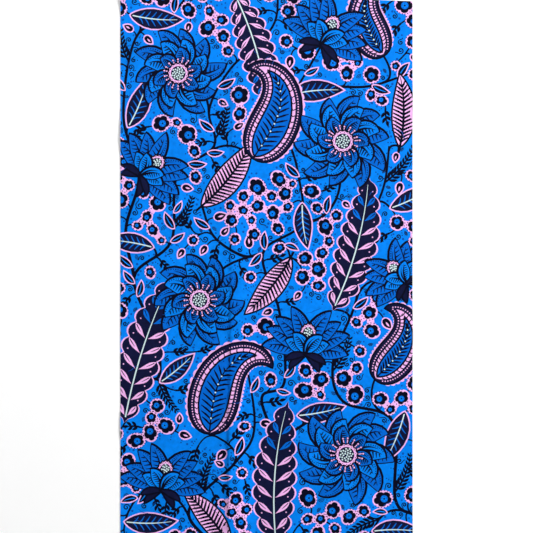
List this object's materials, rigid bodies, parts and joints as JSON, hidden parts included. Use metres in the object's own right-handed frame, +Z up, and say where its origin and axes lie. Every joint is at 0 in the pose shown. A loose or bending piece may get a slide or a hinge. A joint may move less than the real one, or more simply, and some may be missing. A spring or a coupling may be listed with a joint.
{
  "type": "wax print cotton cloth panel",
  "caption": "Flat rectangular length of wax print cotton with raw cut edges and a soft lengthwise crease, laid out on a surface.",
  "frame": {"origin": "middle of the footprint's bounding box, on the surface that the cloth lies on", "axes": "+X across the cut towards its right side, +Y along the cut towards its slanted top edge, +Z up from the surface"},
  "size_m": [0.49, 0.924, 0.0041],
  "materials": {
    "printed_cotton": "plain weave cotton printed through in azure, mid blue, navy and pink, with a low waxy sheen"
  },
  "bodies": {
    "root": {"cloth_panel": "printed_cotton"}
  },
  "joints": []
}
